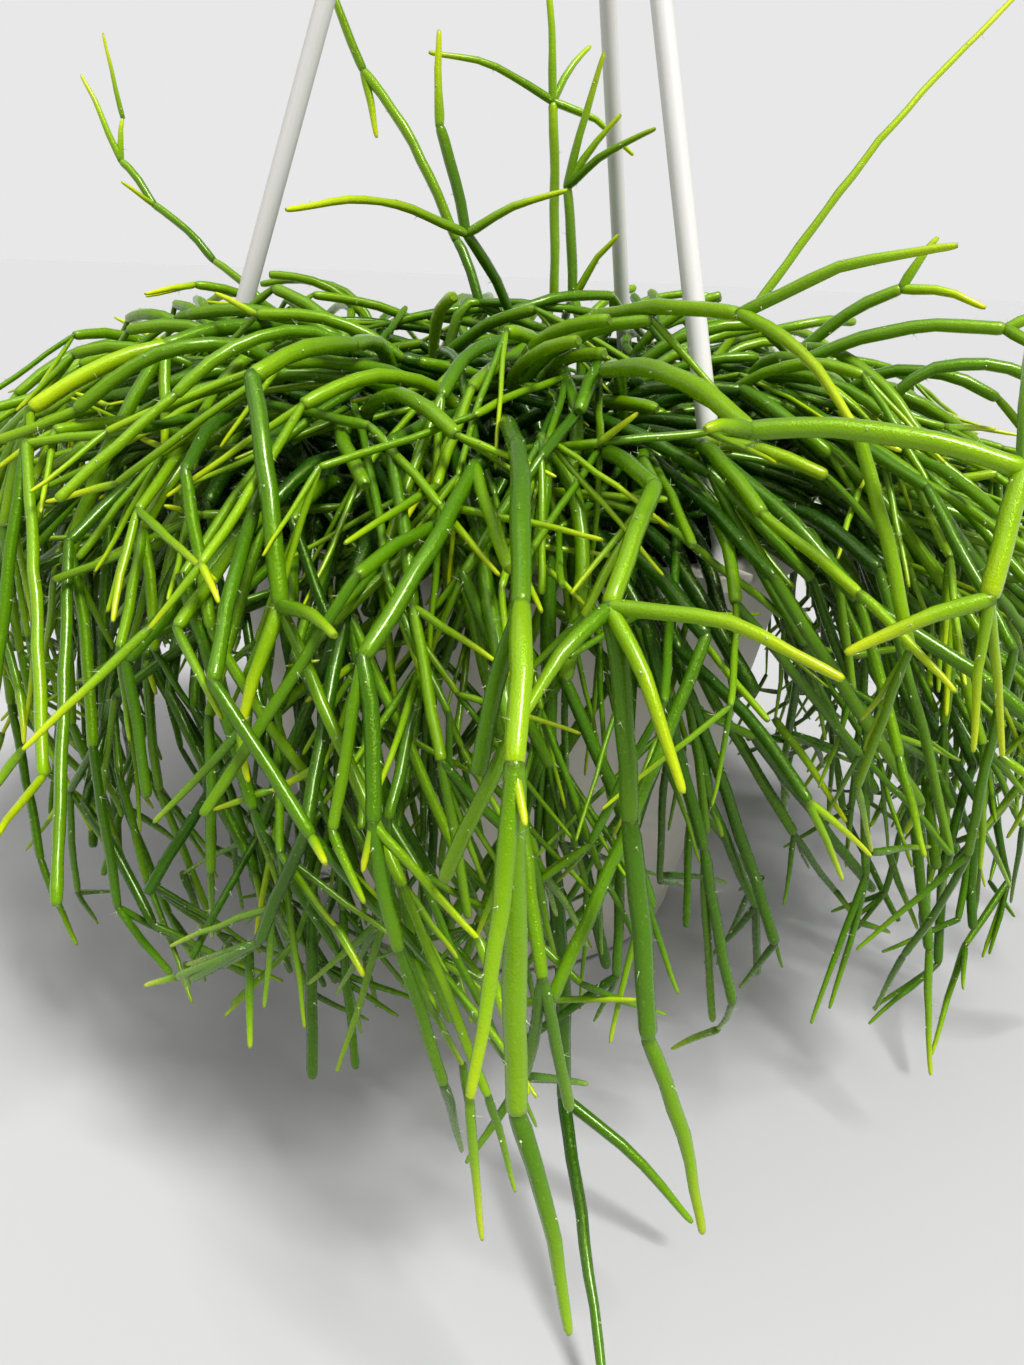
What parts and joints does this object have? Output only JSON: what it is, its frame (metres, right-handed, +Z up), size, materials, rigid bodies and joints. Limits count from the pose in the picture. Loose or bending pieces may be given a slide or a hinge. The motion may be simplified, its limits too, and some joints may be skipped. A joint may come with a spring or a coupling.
{
  "type": "potted mistletoe cactus",
  "caption": "Potted cashero mistletoe cactus: a dome of thin, leafless, branching green stems trailing over a round plastic hanging pot with a three-armed hanger and hook.",
  "frame": {"origin": "centre of the pot's flat base, on the surface it stands on", "axes": "+Z up along the pot's axis to the hook, -Y towards the camera of the picture, +X to its right"},
  "size_m": [0.3864, 0.43, 0.526],
  "materials": {
    "pot_plastic": "satin, off-white",
    "hanger_plastic": "satin, white",
    "soil": "rough, dark brown",
    "stem_green": "waxy, light gloss"
  },
  "bodies": {
    "root": {"pot": "pot_plastic", "soil": "soil", "hanger_arm_1": "hanger_plastic", "hanger_arm_2": "hanger_plastic", "hanger_arm_3": "hanger_plastic", "hanger_hook": "hanger_plastic", "shoot_upright_tall": "stem_green", "shoot_upright_short": "stem_green", "shoot_upright_left": "stem_green", "shoot_back_left_long": "stem_green", "shoot_left_thin": "stem_green", "shoot_right_straight": "stem_green", "shoot_right_arch": "stem_green", "shoot_right_far": "stem_green", "shoot_right_fork": "stem_green", "shoot_front_right": "stem_green", "shoot_front_middle": "stem_green", "shoot_front_fork": "stem_green", "shoot_left_arch": "stem_green", "shoot_front_left": "stem_green", "shoot_trailing": "stem_green", "spray_01": "stem_green", "spray_02": "stem_green", "spray_03": "stem_green", "spray_04": "stem_green", "spray_05": "stem_green", "spray_06": "stem_green", "spray_07": "stem_green", "spray_08": "stem_green", "spray_09": "stem_green", "spray_10": "stem_green", "spray_11": "stem_green", "spray_12": "stem_green", "spray_13": "stem_green", "spray_14": "stem_green", "spray_15": "stem_green", "spray_16": "stem_green", "spray_17": "stem_green", "spray_18": "stem_green", "spray_19": "stem_green", "spray_20": "stem_green", "spray_21": "stem_green", "spray_22": "stem_green", "spray_23": "stem_green", "spray_24": "stem_green", "spray_25": "stem_green", "spray_26": "stem_green", "spray_27": "stem_green", "spray_28": "stem_green", "spray_29": "stem_green", "spray_30": "stem_green", "spray_31": "stem_green", "spray_32": "stem_green", "spray_33": "stem_green", "spray_34": "stem_green", "spray_35": "stem_green", "spray_36": "stem_green", "spray_37": "stem_green"}
  },
  "joints": []
}
